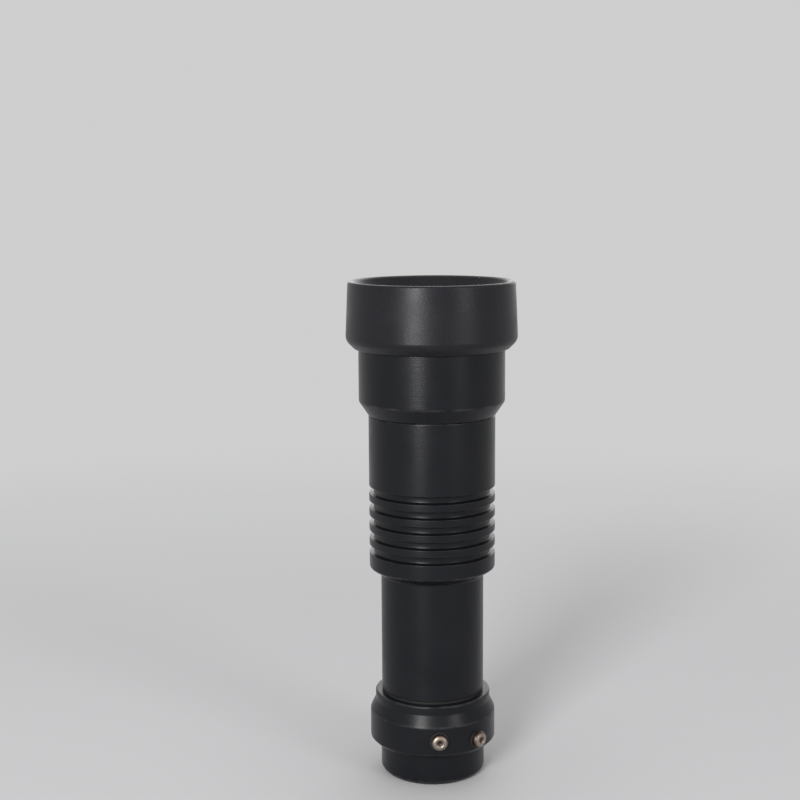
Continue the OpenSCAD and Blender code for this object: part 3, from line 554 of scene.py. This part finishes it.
# %% Barrel
gasket_high = mm_box("tail_gasket")[1]
holder_low, holder_high = mm_box("front_contact_holder")
SPIGOT_TOP_Z = barrel_high[2]
TAIL_SPIGOT_Z = barrel_low[2]
NECK_Z = gasket_high[2]
NECK_R = gasket_high[0] + SLIDE_FIT
TAIL_SPIGOT_R = 9.2
CELL_GAP = 0.35
CELL_BORE_R = mm_box("cell_sleeve")[1][0] + CELL_GAP
CHANNEL_R = 8.45
CHANNEL_W = 1.16
FRONT_BORE_R = holder_high[0] + SLIDE_FIT
FRONT_BORE_Z = holder_low[2]
THREAD_ROOT_R = 10.75
RING_GROOVE_R = 10.3
RING_GROOVE_RISE = 1.0
RING_GROOVE_Z = HEAD_Z + RING_GROOVE_RISE
RING_GROOVE_H = 1.4
RING_LAND_H = 0.5
THREAD_Z = RING_GROOVE_Z + RING_GROOVE_H + RING_LAND_H
GRIP_LENGTH = 32.3
GRIP_Z = HEAD_Z - GRIP_LENGTH
GRIP_TAPER_H = 1.5
GROOVE_COUNT = 5
GROOVE_PITCH = 3.0
GROOVE_START = 5.3
GROOVE_W = 1.6
GROOVE_LEAN = 0.2
GROOVE_DEPTH = 1.0
BAR_IN = 1.0
BAR_DOWN = 1.0
BAR_UP = 0.5


def grip_groove(index):
    """The corners of one ring groove, from its upper edge down."""
    z = GRIP_Z + GROOVE_START + index * GROOVE_PITCH
    floor_r = GRIP_R - GROOVE_DEPTH
    half = GROOVE_W / 2
    floor_half = half - GROOVE_LEAN
    return [
        (GRIP_R, z + half, FINE_EDGE), (floor_r, z + floor_half, SMALL_EDGE),
        (floor_r, z - floor_half, SMALL_EDGE), (GRIP_R, z - half, FINE_EDGE),
    ]


def lead_channel():
    """A bar along the back of the bore, where the charging lead runs; it reaches past what it cuts."""
    inner, outer = CELL_BORE_R - BAR_IN, CHANNEL_R
    low, high = TAIL_SPIGOT_Z - BAR_DOWN, FRONT_BORE_Z + BAR_UP
    middle = Matrix.Translation((0, (inner + outer) / 2 * MM, (low + high) / 2 * MM))
    size = Matrix.Diagonal((CHANNEL_W * MM, (outer - inner) * MM, (high - low) * MM, 1))
    bar = bmesh.new()
    bmesh.ops.create_cube(bar, size=1.0, matrix=middle @ size)
    return bar


def make_barrel():
    ring_top = RING_GROOVE_Z + RING_GROOVE_H
    grooves = [corner for i in reversed(range(GROOVE_COUNT)) for corner in grip_groove(i)]
    bm = bmesh.new()
    outline_wire(bm, [
        (FRONT_BORE_R, SPIGOT_TOP_Z, SMALL_EDGE), (THREAD_ROOT_R, SPIGOT_TOP_Z, SMALL_EDGE),
        (THREAD_ROOT_R, THREAD_Z), (HEAD_SPIGOT_R, THREAD_Z, FINE_EDGE),
        (HEAD_SPIGOT_R, ring_top, FINE_EDGE), (RING_GROOVE_R, ring_top, FINE_EDGE),
        (RING_GROOVE_R, RING_GROOVE_Z, FINE_EDGE), (HEAD_SPIGOT_R, RING_GROOVE_Z, FINE_EDGE),
        (HEAD_SPIGOT_R, HEAD_Z), (GRIP_R, HEAD_Z, EDGE), *grooves, (GRIP_R, GRIP_Z + GRIP_TAPER_H, EDGE),
        (NECK_R, GRIP_Z, EDGE), (NECK_R, NECK_Z, SMALL_EDGE), (TAIL_SPIGOT_R, NECK_Z),
        (TAIL_SPIGOT_R, TAIL_SPIGOT_Z, SMALL_EDGE), (CELL_BORE_R, TAIL_SPIGOT_Z, FINE_EDGE),
        (CELL_BORE_R, FRONT_BORE_Z), (FRONT_BORE_R, FRONT_BORE_Z),
    ])
    spin_wire(bm)
    piece = add_piece("grooved_barrel", bm, anodised, "body", "barrel")
    cut_away(piece, lead_channel())
    return piece


make_barrel()

# %% Thread on the barrel's spigot
THREAD_PITCH = 1.0
THREAD_CREST_R = 11.28
THREAD_FOOT_W = 0.82
THREAD_CREST_W = 0.2
THREAD_STEPS_A_TURN = 72
THREAD_FIRST_Z = THREAD_Z + THREAD_PITCH / 2
THREAD_TURNS = 2.3
THREAD_SINK = 0.05


def make_thread():
    foot_r = THREAD_ROOT_R - THREAD_SINK
    steps = round(THREAD_TURNS * THREAD_STEPS_A_TURN)
    bm = bmesh.new()
    outline_wire(bm, [
        (foot_r, THREAD_FIRST_Z - THREAD_FOOT_W / 2), (THREAD_CREST_R, THREAD_FIRST_Z - THREAD_CREST_W / 2),
        (THREAD_CREST_R, THREAD_FIRST_Z + THREAD_CREST_W / 2), (foot_r, THREAD_FIRST_Z + THREAD_FOOT_W / 2),
    ])
    bmesh.ops.spin(
        bm, geom=bm.verts[:] + bm.edges[:], cent=(0, 0, 0), axis=(0, 0, 1),
        dvec=(0, 0, THREAD_PITCH * THREAD_TURNS * MM / steps), angle=2 * math.pi * THREAD_TURNS,
        steps=steps, use_merge=False, use_duplicate=False,
    )
    bmesh.ops.holes_fill(bm, edges=[edge for edge in bm.edges if edge.is_boundary], sides=0)
    bmesh.ops.recalc_face_normals(bm, faces=bm.faces[:])
    return add_piece("barrel_thread", bm, anodised, "body", None)


make_thread()

# %% [markdown]
# ## The tail cap
# The cap closes the tail. From below it has the narrow end that the lamp stands on, the wide collar with
# the charging studs, a short taper and a ring. Inside are the steps that hold the switch and the button.
# The studs' holes are cut last, by two rods that a boolean takes away.

# %% Tail cap
tail_high = mm_box("tail_cap")[1]
switch_low, switch_high = mm_box("switch_body")
stud_low, stud_high = mm_box("charging_studs")
COLLAR_R = tail_high[0]
TAIL_TOP_Z = tail_high[2]
COLLAR_Z = 6.4
COLLAR_H = 6.5
TAIL_TAPER_Z = COLLAR_Z + COLLAR_H
TAIL_TAPER_H = 2.1
TAIL_RING_Z = TAIL_TAPER_Z + TAIL_TAPER_H
SWITCH_BORE_R = switch_high[0] + SLIDE_FIT
SWITCH_Z = switch_low[2]
TAIL_END_WALL = 2.5
TAIL_END_R = SWITCH_BORE_R + TAIL_END_WALL
TAIL_RING_R = 11.6
TAIL_BEVEL = 0.8
COLLAR_BEVEL = 0.9
TAIL_BORE_R = TAIL_SPIGOT_R + FIT
TAIL_RIM_W = 3.0
DISH_R = TAIL_END_R - TAIL_RIM_W
DISH_DEPTH = 0.6
TAIL_FLOOR_Z = 2.2
BUTTON_HOLE_R = 5.5
BUTTON_FLANGE_BORE_R = 6.75
STUD_HEAD_R = 1.7
STUD_PLACES = ((-84, stud_high[2] - STUD_HEAD_R), (-45, stud_low[2] + STUD_HEAD_R))
STUD_HOLE_R = 1.35
STUD_BORE_MARGIN = 0.25
STUD_BORE_Z = stud_low[2] + STUD_HEAD_R - STUD_HOLE_R - STUD_BORE_MARGIN
STUD_SEAT_R = 1.9
STUD_SEAT_DEPTH = 0.2
ROD_SET_BACK = 0.5
ROD_START = SWITCH_BORE_R + ROD_SET_BACK
ROD_REACH = 2.0
ROD_STEPS = 48


def outward(angle, z):
    """From upright at the origin to pointing out of the lamp at an angle and a height."""
    turn = Matrix.Rotation(math.radians(angle), 4, "Z")
    return Matrix.Translation((0, 0, z * MM)) @ turn @ Matrix.Rotation(math.pi / 2, 4, "Y")


def stud_cutter():
    """Two stepped rods, one for each stud's hole and its flat seat."""
    seat = COLLAR_R - STUD_SEAT_DEPTH
    cutter = bmesh.new()
    for angle, z in STUD_PLACES:
        rod = bmesh.new()
        outline_wire(rod, [
            (0, ROD_START), (STUD_HOLE_R, ROD_START), (STUD_HOLE_R, seat),
            (STUD_SEAT_R, seat), (STUD_SEAT_R, seat + ROD_REACH), (0, seat + ROD_REACH),
        ], closed=False)
        spin_wire(rod, ROD_STEPS)
        bmesh.ops.transform(rod, matrix=outward(angle, z), verts=rod.verts[:])
        mesh = bpy.data.meshes.new("rod")
        rod.to_mesh(mesh)
        rod.free()
        cutter.from_mesh(mesh)
    return cutter


def make_tail_cap():
    bm = bmesh.new()
    outline_wire(bm, [
        (DISH_R, 0, SMALL_EDGE), (TAIL_END_R - TAIL_BEVEL, 0, FINE_EDGE), (TAIL_END_R, TAIL_BEVEL, EDGE),
        (TAIL_END_R, COLLAR_Z, SMALL_EDGE), (COLLAR_R - COLLAR_BEVEL, COLLAR_Z, FINE_EDGE),
        (COLLAR_R, COLLAR_Z + COLLAR_BEVEL, FINE_EDGE), (COLLAR_R, TAIL_TAPER_Z, EDGE),
        (TAIL_RING_R, TAIL_RING_Z, SMALL_EDGE),
        (TAIL_RING_R, TAIL_TOP_Z, BEVEL), (TAIL_BORE_R, TAIL_TOP_Z, FINE_EDGE), (TAIL_BORE_R, STUD_BORE_Z),
        (SWITCH_BORE_R, STUD_BORE_Z), (SWITCH_BORE_R, SWITCH_Z), (BUTTON_FLANGE_BORE_R, SWITCH_Z),
        (BUTTON_FLANGE_BORE_R, TAIL_FLOOR_Z), (BUTTON_HOLE_R, TAIL_FLOOR_Z, FINE_EDGE),
        (BUTTON_HOLE_R, DISH_DEPTH, SMALL_EDGE), (DISH_R, DISH_DEPTH, SMALL_EDGE),
    ])
    spin_wire(bm)
    piece = add_piece("tail_shell", bm, anodised, "body", "tail_cap")
    cut_away(piece, stud_cutter())
    return piece


make_tail_cap()

# %% [markdown]
# ## The charging studs
# Two riveted studs stand out of the collar, one a little lower than the other, so that a charger fits
# only one way round. Each has a domed head with a dimple, where the charger's pins touch. A stud is
# turned too, around its own axis, and then laid along the way out of the lamp. The dimple and the foot
# of the head are painted darker, as painted shade. The finish finds both by their distance from the
# lamp's axis, which is shorter there than on the head's face.

# %% Studs
STUD_TIP_R = 8.55
BUSH_FLANGE_T = 0.3
STUD_HEAD_BASE_R = COLLAR_R - STUD_SEAT_DEPTH + BUSH_FLANGE_T
STUD_HEAD_H = 1.1
STUD_EDGE = 0.7 * STUD_HEAD_H
STUD_SHANK_R = 0.8
STUD_DIMPLE_R = 0.75
STUD_DIMPLE_DEPTH = 0.35
STUD_STEPS = 64
# How far below the stud's face the painted shade reaches.
PAINTED_SHADE_DEPTH = 0.3
BARE_NICKEL = (0.34, 0.31, 0.29)
BARE_BRASS = (0.33, 0.25, 0.18)
# The colour of the painted shade in the dimple and at the foot of the head.
PAINTED_SHADE = (0.075, 0.05, 0.038)


def make_stud_finish():
    material, tree, shader = new_finish("worn_and_shaded_stud", (0.4, 0.37, 0.35), roughness=0.34, metallic=1.0)
    face = (STUD_HEAD_BASE_R + STUD_HEAD_H) * MM
    patches = grain(tree, size_mm=0.5, detail=4.0)
    worn = spread(tree, patches, low=0, high=1, start=0.42, end=0.66)
    plated = blend_colours(tree, worn, BARE_NICKEL, BARE_BRASS)
    # Painted shade: the stud is darker where it lies deeper than its face, in the dimple and at the foot of
    # the head.
    shade_share = spread(tree, axis_distance(tree), low=1, high=0, start=face - PAINTED_SHADE_DEPTH * MM, end=face)
    shaded_plate = blend_colours(tree, shade_share, plated, PAINTED_SHADE)
    tree.links.new(shaded_plate, shader.inputs["Base Color"])
    tree.links.new(spread(tree, patches, low=0.28, high=0.46), shader.inputs["Roughness"])
    bump(tree, shader, [(grain(tree, size_mm=0.2, detail=3.0), 0.006)])
    return material


def make_studs():
    top = STUD_HEAD_BASE_R + STUD_HEAD_H
    studs = bmesh.new()
    for angle, z in STUD_PLACES:
        stud = bmesh.new()
        outline_wire(stud, [
            (0, STUD_TIP_R), (STUD_SHANK_R, STUD_TIP_R, SMALL_EDGE), (STUD_SHANK_R, STUD_HEAD_BASE_R),
            (STUD_HEAD_R, STUD_HEAD_BASE_R, FINE_EDGE), (STUD_HEAD_R, top, STUD_EDGE),
            (STUD_DIMPLE_R, top, FINE_EDGE), (STUD_DIMPLE_R / 2, top - STUD_DIMPLE_DEPTH, FINE_EDGE),
            (0, top - STUD_DIMPLE_DEPTH),
        ], closed=False)
        spin_wire(stud, STUD_STEPS)
        bmesh.ops.transform(stud, matrix=outward(angle, z), verts=stud.verts[:])
        mesh = bpy.data.meshes.new("stud")
        stud.to_mesh(mesh)
        stud.free()
        studs.from_mesh(mesh)
    return add_piece("worn_shaded_studs", studs, make_stud_finish(), "body", "charging_studs")


make_studs()

# %% [markdown]
# ## The button
# The button is a soft cap with a crowned face in the tail's dish, held in by a flange. Raised rings on
# its face make it easy to find in the dark.

# %% Button
button_high = mm_box("push_button")[1]
BUTTON_R = 5.35
BUTTON_FLANGE_R = button_high[0]
BUTTON_TOP_Z = button_high[2]
BUTTON_EDGE_Z = 0.9
BUTTON_CROWN = 0.45
BUTTON_SOCKET_R = 1.6
BUTTON_SOCKET_Z = mm_box("button_plunger")[0][2]
BUTTON_STEPS = 96
RING_RADII = (1.5, 2.7, 3.9)
RING_W = 0.5
RING_H = 0.16
RING_EDGE = 0.06


def crown_z(r):
    return BUTTON_EDGE_Z - BUTTON_CROWN * (1 - (r / BUTTON_R) ** 2)


def raised_ring(r):
    """The corners of one raised ring on the button's face, from its inner edge out."""
    inner, outer = r - RING_W / 2, r + RING_W / 2
    return [
        (inner, crown_z(inner), RING_EDGE), (inner + RING_H / 2, crown_z(inner) - RING_H, RING_EDGE),
        (outer - RING_H / 2, crown_z(outer) - RING_H, RING_EDGE), (outer, crown_z(outer), RING_EDGE),
    ]


def make_button():
    rings = [corner for r in RING_RADII for corner in raised_ring(r)]
    bm = bmesh.new()
    outline_wire(bm, [
        (0, crown_z(0)), *rings, (BUTTON_R, BUTTON_EDGE_Z, EDGE), (BUTTON_R, TAIL_FLOOR_Z),
        (BUTTON_FLANGE_R, TAIL_FLOOR_Z, FINE_EDGE), (BUTTON_FLANGE_R, BUTTON_TOP_Z, SMALL_EDGE),
        (BUTTON_SOCKET_R, BUTTON_TOP_Z), (BUTTON_SOCKET_R, BUTTON_SOCKET_Z), (0, BUTTON_SOCKET_Z),
    ], closed=False)
    spin_wire(bm, BUTTON_STEPS)
    return add_piece("soft_button", bm, button_rubber, "button", "push_button")


make_button()

# %% [markdown]
# ## The reflector
# The bowl that throws the light forward is a parabola: its height grows with the square of the radius.
# Its outline takes points from that formula, close enough to shade as one smooth curve.

# %% Reflector
reflector_low, reflector_high = mm_box("reflector")
REFLECTOR_R = reflector_high[0]
REFLECTOR_TOP_Z = reflector_high[2]
REFLECTOR_FOOT_Z = reflector_low[2]
REFLECTOR_SEAT_Z = sink_high[2]
REFLECTOR_FOOT_R = 3.4
REFLECTOR_MOUTH_R = 11.7
REFLECTOR_BOSS_R = 8.15
BOWL_STEPS = 40


def bowl_point(i):
    r = REFLECTOR_FOOT_R + (REFLECTOR_MOUTH_R - REFLECTOR_FOOT_R) * i / BOWL_STEPS
    share = (r ** 2 - REFLECTOR_FOOT_R ** 2) / (REFLECTOR_MOUTH_R ** 2 - REFLECTOR_FOOT_R ** 2)
    return (r, REFLECTOR_FOOT_Z + (REFLECTOR_TOP_Z - REFLECTOR_FOOT_Z) * share)


def make_reflector():
    bm = bmesh.new()
    outline_wire(bm, [
        *[bowl_point(i) for i in range(BOWL_STEPS + 1)], (REFLECTOR_R, REFLECTOR_TOP_Z, FINE_EDGE),
        (REFLECTOR_R, REFLECTOR_SEAT_Z, FINE_EDGE), (REFLECTOR_BOSS_R, REFLECTOR_SEAT_Z),
        (REFLECTOR_BOSS_R, REFLECTOR_FOOT_Z, FINE_EDGE),
    ])
    spin_wire(bm)
    return add_piece("reflector_bowl", bm, mirror, "head", "reflector")


make_reflector()

# %% [markdown]
# ## The springs
# Three springs press the contacts together and push the button back. A spring could be a curve with a
# bevel. Here it is one more spin that climbs: a small circle goes round several times, and for a cone
# every ring of the wire is then moved in or out to its own radius.

# %% Springs
WIRE_SIDES = 12
RINGS_A_CURL = 32


def wound_spring(name, node, curls, low, high, wire, material, body):
    """A wire wound from (radius, height) low to high, in mm."""
    rings = round(curls * RINGS_A_CURL)
    climb = (high[1] - low[1]) / rings
    bm = bmesh.new()
    bmesh.ops.create_circle(bm, cap_ends=False, segments=WIRE_SIDES, radius=wire / 2 * MM)
    stand = Matrix.Translation((low[0] * MM, 0, low[1] * MM)) @ Matrix.Rotation(math.pi / 2, 4, "X")
    bmesh.ops.transform(bm, matrix=stand, verts=bm.verts[:])
    bmesh.ops.spin(
        bm, geom=bm.verts[:] + bm.edges[:], cent=(0, 0, 0), axis=(0, 0, 1), angle=2 * math.pi * curls,
        dvec=(0, 0, climb * MM), steps=rings, use_merge=False, use_duplicate=False,
    )
    bm.verts.index_update()
    for vertex in bm.verts:
        share = (vertex.index // WIRE_SIDES) / rings
        out = Vector((vertex.co.x, vertex.co.y, 0)).normalized()
        vertex.co += out * (high[0] - low[0]) * share * MM
    bmesh.ops.holes_fill(bm, edges=[edge for edge in bm.edges if edge.is_boundary], sides=0)
    bmesh.ops.recalc_face_normals(bm, faces=bm.faces[:])
    return add_piece(name, bm, material, body, node)


def spring_reach(node, wire):
    """A CAD spring's widest radius, its lowest and its highest point, to the middle of the wire."""
    low, high = mm_box(node)
    return max(high[0], -low[0]) - wire / 2, low[2] + wire / 2, high[2] - wire / 2


CONTACT_WIRE = 0.55
CONTACT_CURLS = 2.5
CONTACT_TIP_R = 1.5
TAIL_WIRE = 0.6
TAIL_CURLS = 3
TAIL_TIP_R = 2.2
BUTTON_WIRE = 0.5
BUTTON_CURLS = 4
contact_r, contact_low, contact_high = spring_reach("contact_spring", CONTACT_WIRE)
wound_spring(
    "wound_contact_spring", "contact_spring", CONTACT_CURLS, (CONTACT_TIP_R, contact_low),
    (contact_r, contact_high), CONTACT_WIRE, brass, "head",
)
tail_r, tail_low_z, tail_high_z = spring_reach("tail_spring", TAIL_WIRE)
wound_spring(
    "wound_tail_spring", "tail_spring", TAIL_CURLS, (tail_r, tail_low_z), (TAIL_TIP_R, tail_high_z),
    TAIL_WIRE, plated_steel, "body",
)
return_r, return_low, return_high = spring_reach("button_spring", BUTTON_WIRE)
button_spring = wound_spring(
    "wound_button_spring", "button_spring", BUTTON_CURLS, (return_r, return_low), (return_r, return_high),
    BUTTON_WIRE, plated_steel, "body",
)
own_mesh(button_spring)

# %% [markdown]
# ## Finishes on the pieces that stay as they are
# The other pieces already have their real shape in the frame. Each gets the finish of what it is made of.

# %% Finishes by node
NODE_FINISHES = {
    "bezel_ring": anodised, "lens_seal": seal_rubber, "lens": clear_glass,
    "led_centring_ring": white_plastic, "led_dome": led_glow, "led_package": led_ceramic,
    "led_board": board_white, "board_screws": plated_steel, "led_lead_positive": red_lead,
    "led_lead_negative": black_lead, "heat_sink": brass, "driver_board": board_green,
    "driver_parts": black_plastic, "head_sealing_ring": seal_rubber,
    "front_contact_holder": white_plastic, "front_contact": brass, "cell_positive_cap": plated_steel,
    "cell_insulator": white_plastic, "cell_can": plated_steel, "cell_core": cell_core,
    "cell_sleeve": cell_sleeve, "charge_lead": red_lead, "tail_gasket": seal_rubber,
    "tail_board": board_green, "tail_board_parts": black_plastic, "charge_fingers": brass,
    "stud_bushes": black_plastic, "switch_body": black_plastic, "button_plunger": white_plastic,
}
for node, finish in NODE_FINISHES.items():
    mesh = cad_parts[node].data
    mesh.materials.clear()
    mesh.materials.append(finish)
print("finished", len(NODE_FINISHES), "nodes")

# %% [markdown]
# ## Floor and light
# A black lamp needs large, soft lights: what the eye reads as its shape is their reflection. A tall soft
# box stands left of the camera and draws the long highlight down the lamp, and weaker ones light the
# right side, the back and the top. The floor is a pale sheet that fades into the pale surroundings, so
# that no horizon shows.

# %% Floor
FLOOR_R = 0.4
FADE_START = 0.12
FADE_END = 0.36
FLOOR_SIDES = 96
PALE = (0.62, 0.62, 0.63)


def make_floor():
    bm = bmesh.new()
    bmesh.ops.create_circle(bm, cap_ends=True, segments=FLOOR_SIDES, radius=FLOOR_R)
    mesh = bpy.data.meshes.new("floor")
    bm.to_mesh(mesh)
    bm.free()
    floor = bpy.data.objects.new("floor", mesh)
    scene.collection.objects.link(floor)
    material, tree, shader = new_finish("pale_floor", PALE, roughness=0.9, specular=0.0)
    distance = tree.nodes.new("ShaderNodeVectorMath")
    distance.operation = "LENGTH"
    tree.links.new(object_point(tree), distance.inputs[0])
    fade = spread(tree, distance.outputs["Value"], low=0, high=1, start=FADE_START, end=FADE_END)
    clear = tree.nodes.new("ShaderNodeBsdfTransparent")
    mix = tree.nodes.new("ShaderNodeMixShader")
    tree.links.new(fade, mix.inputs["Fac"])
    tree.links.new(shader.outputs["BSDF"], mix.inputs[1])
    tree.links.new(clear.outputs["BSDF"], mix.inputs[2])
    tree.links.new(mix.outputs["Shader"], tree.nodes["Material Output"].inputs["Surface"])
    mesh.materials.append(material)
    print("floor of radius", FLOOR_R, "m")


make_floor()

# %% Surroundings
WORLD_LIGHT = 0.42
WORLD_SEEN = 0.62


def make_surroundings():
    world = bpy.data.worlds.new("surroundings")
    world.use_nodes = True
    tree = world.node_tree
    background = tree.nodes["Background"]
    background.inputs["Color"].default_value = (1, 1, 1, 1)
    rays = tree.nodes.new("ShaderNodeLightPath")
    seen = rays.outputs["Is Camera Ray"]
    for other in ("Is Glossy Ray", "Is Transmission Ray"):
        either = tree.nodes.new("ShaderNodeMath")
        either.operation = "MAXIMUM"
        tree.links.new(seen, either.inputs[0])
        tree.links.new(rays.outputs[other], either.inputs[1])
        seen = either.outputs["Value"]
    strength = spread(tree, seen, WORLD_LIGHT, WORLD_SEEN, start=0, end=1)
    tree.links.new(strength, background.inputs["Strength"])
    scene.world = world
    print("surroundings seen at", WORLD_SEEN)


make_surroundings()

# %% Soft boxes
def soft_box(name, place, aim, width, height, power):
    light = bpy.data.lights.new(name, "AREA")
    light.shape = "RECTANGLE"
    light.size = width
    light.size_y = height
    light.energy = power
    lamp = bpy.data.objects.new(name, light)
    lamp.location = place
    lamp.rotation_euler = (Vector(aim) - Vector(place)).to_track_quat("-Z", "Y").to_euler()
    scene.collection.objects.link(lamp)
    print(name, "at", place)


MIDDLE = (0, 0, 0.05)
soft_box("key", (-0.262, -0.649, 0.25), MIDDLE, width=0.2, height=0.5, power=5.0)
soft_box("fill", (0.5, -0.5, 0.28), MIDDLE, width=0.2, height=0.5, power=1.2)
soft_box("back", (0.1, 0.69, 0.3), MIDDLE, width=0.7, height=0.5, power=1.6)
soft_box("top", (0.0, 0.2, 0.95), MIDDLE, width=0.8, height=0.8, power=1.2)
